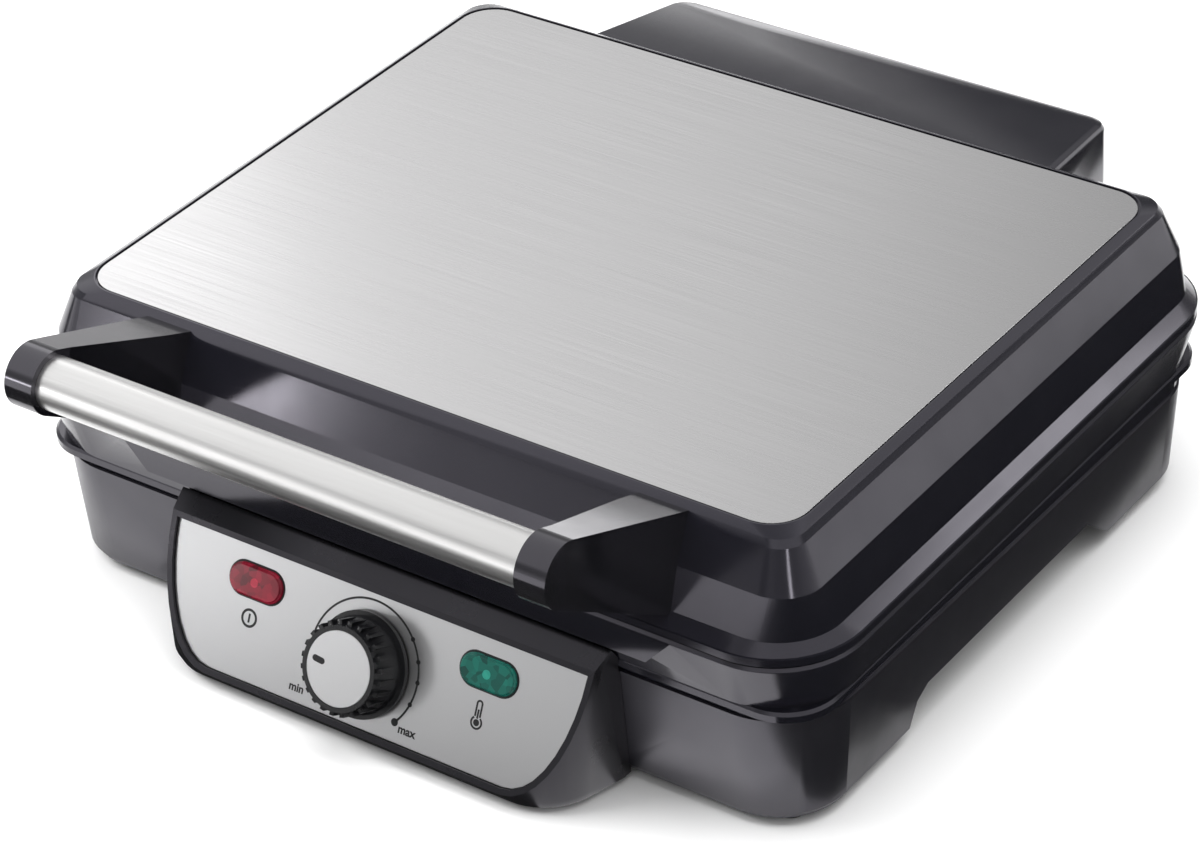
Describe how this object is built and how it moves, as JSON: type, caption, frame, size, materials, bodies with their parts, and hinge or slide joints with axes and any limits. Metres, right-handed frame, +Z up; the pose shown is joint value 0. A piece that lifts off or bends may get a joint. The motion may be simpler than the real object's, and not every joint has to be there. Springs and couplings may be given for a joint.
{
  "type": "waffle maker",
  "caption": "Waffle maker with two rectangular plates, a hinged steel-topped lid with a bar handle, and a sloping front panel with a thermostat knob and lamps.",
  "frame": {"origin": "centre of the bounding box on the table under the feet", "axes": "+X to the right seen from the front, -Y the front with the handle and knob, +Z up"},
  "size_m": [0.309, 0.348, 0.1247],
  "materials": {
    "shell_black": "satin gloss",
    "plastic_dark": "matte",
    "arm_black": "high gloss",
    "knob_black": "satin",
    "lid_steel": "fine lines from side to side",
    "panel_steel": "fine lines from side to side",
    "bar_aluminium": "fine lines along the tube",
    "nonstick": "cast, with a black non-stick coating",
    "tray_aluminium": "bright rolled sheet",
    "zinc_steel": "zinc plated",
    "ceramic_cream": "unglazed",
    "lens_red": "clear tinted",
    "lens_green": "clear tinted",
    "lamp_glass": "clear",
    "rubber_black": "matte",
    "brass": "turned"
  },
  "bodies": {
    "base": {"base_frame": "shell_black", "base_skirt": "shell_black", "base_floor": "plastic_dark", "control_box": "shell_black", "panel": "panel_steel", "power_lens": "lens_red", "ready_lens": "lens_green", "power_lamp": "lamp_glass", "ready_lamp": "lamp_glass", "thermostat": "ceramic_cream", "thermostat_bracket": "zinc_steel", "lower_plate": "nonstick", "lower_heater": "zinc_steel", "lower_tray": "tray_aluminium", "terminal_block": "ceramic_cream", "cord_gland": "rubber_black", "base_screws": "zinc_steel", "foot_box_left": "rubber_black", "foot_box_right": "rubber_black", "foot_front_left": "rubber_black", "foot_front_right": "rubber_black", "foot_rear_left": "rubber_black", "foot_rear_right": "rubber_black", "hinge_bushes": "brass"},
    "lid": {"lid_shell": "shell_black", "lid_sheet": "lid_steel", "lid_frame": "plastic_dark", "hinge_cover": "shell_black", "hinge_pins": "zinc_steel", "upper_plate": "nonstick", "upper_heater": "zinc_steel", "upper_tray": "tray_aluminium", "arm_left": "arm_black", "arm_right": "arm_black", "handle_bar": "bar_aluminium", "handle_rod": "zinc_steel"},
    "knob": {"knob": "knob_black", "knob_cap": "panel_steel", "thermostat_shaft": "zinc_steel"}
  },
  "joints": [
    {"name": "lid_hinge", "type": "hinge", "parent": "base", "child": "lid", "pos_m": [0, 0.1541, 0.0682], "axis": [-1, 0, 0], "range_deg": [0, 100]},
    {"name": "knob_turn", "type": "hinge", "parent": "base", "child": "knob", "pos_m": [0, -0.1368, 0.02544], "axis": [0, 0.9026, -0.4305], "range_deg": [-47, 217]}
  ]
}
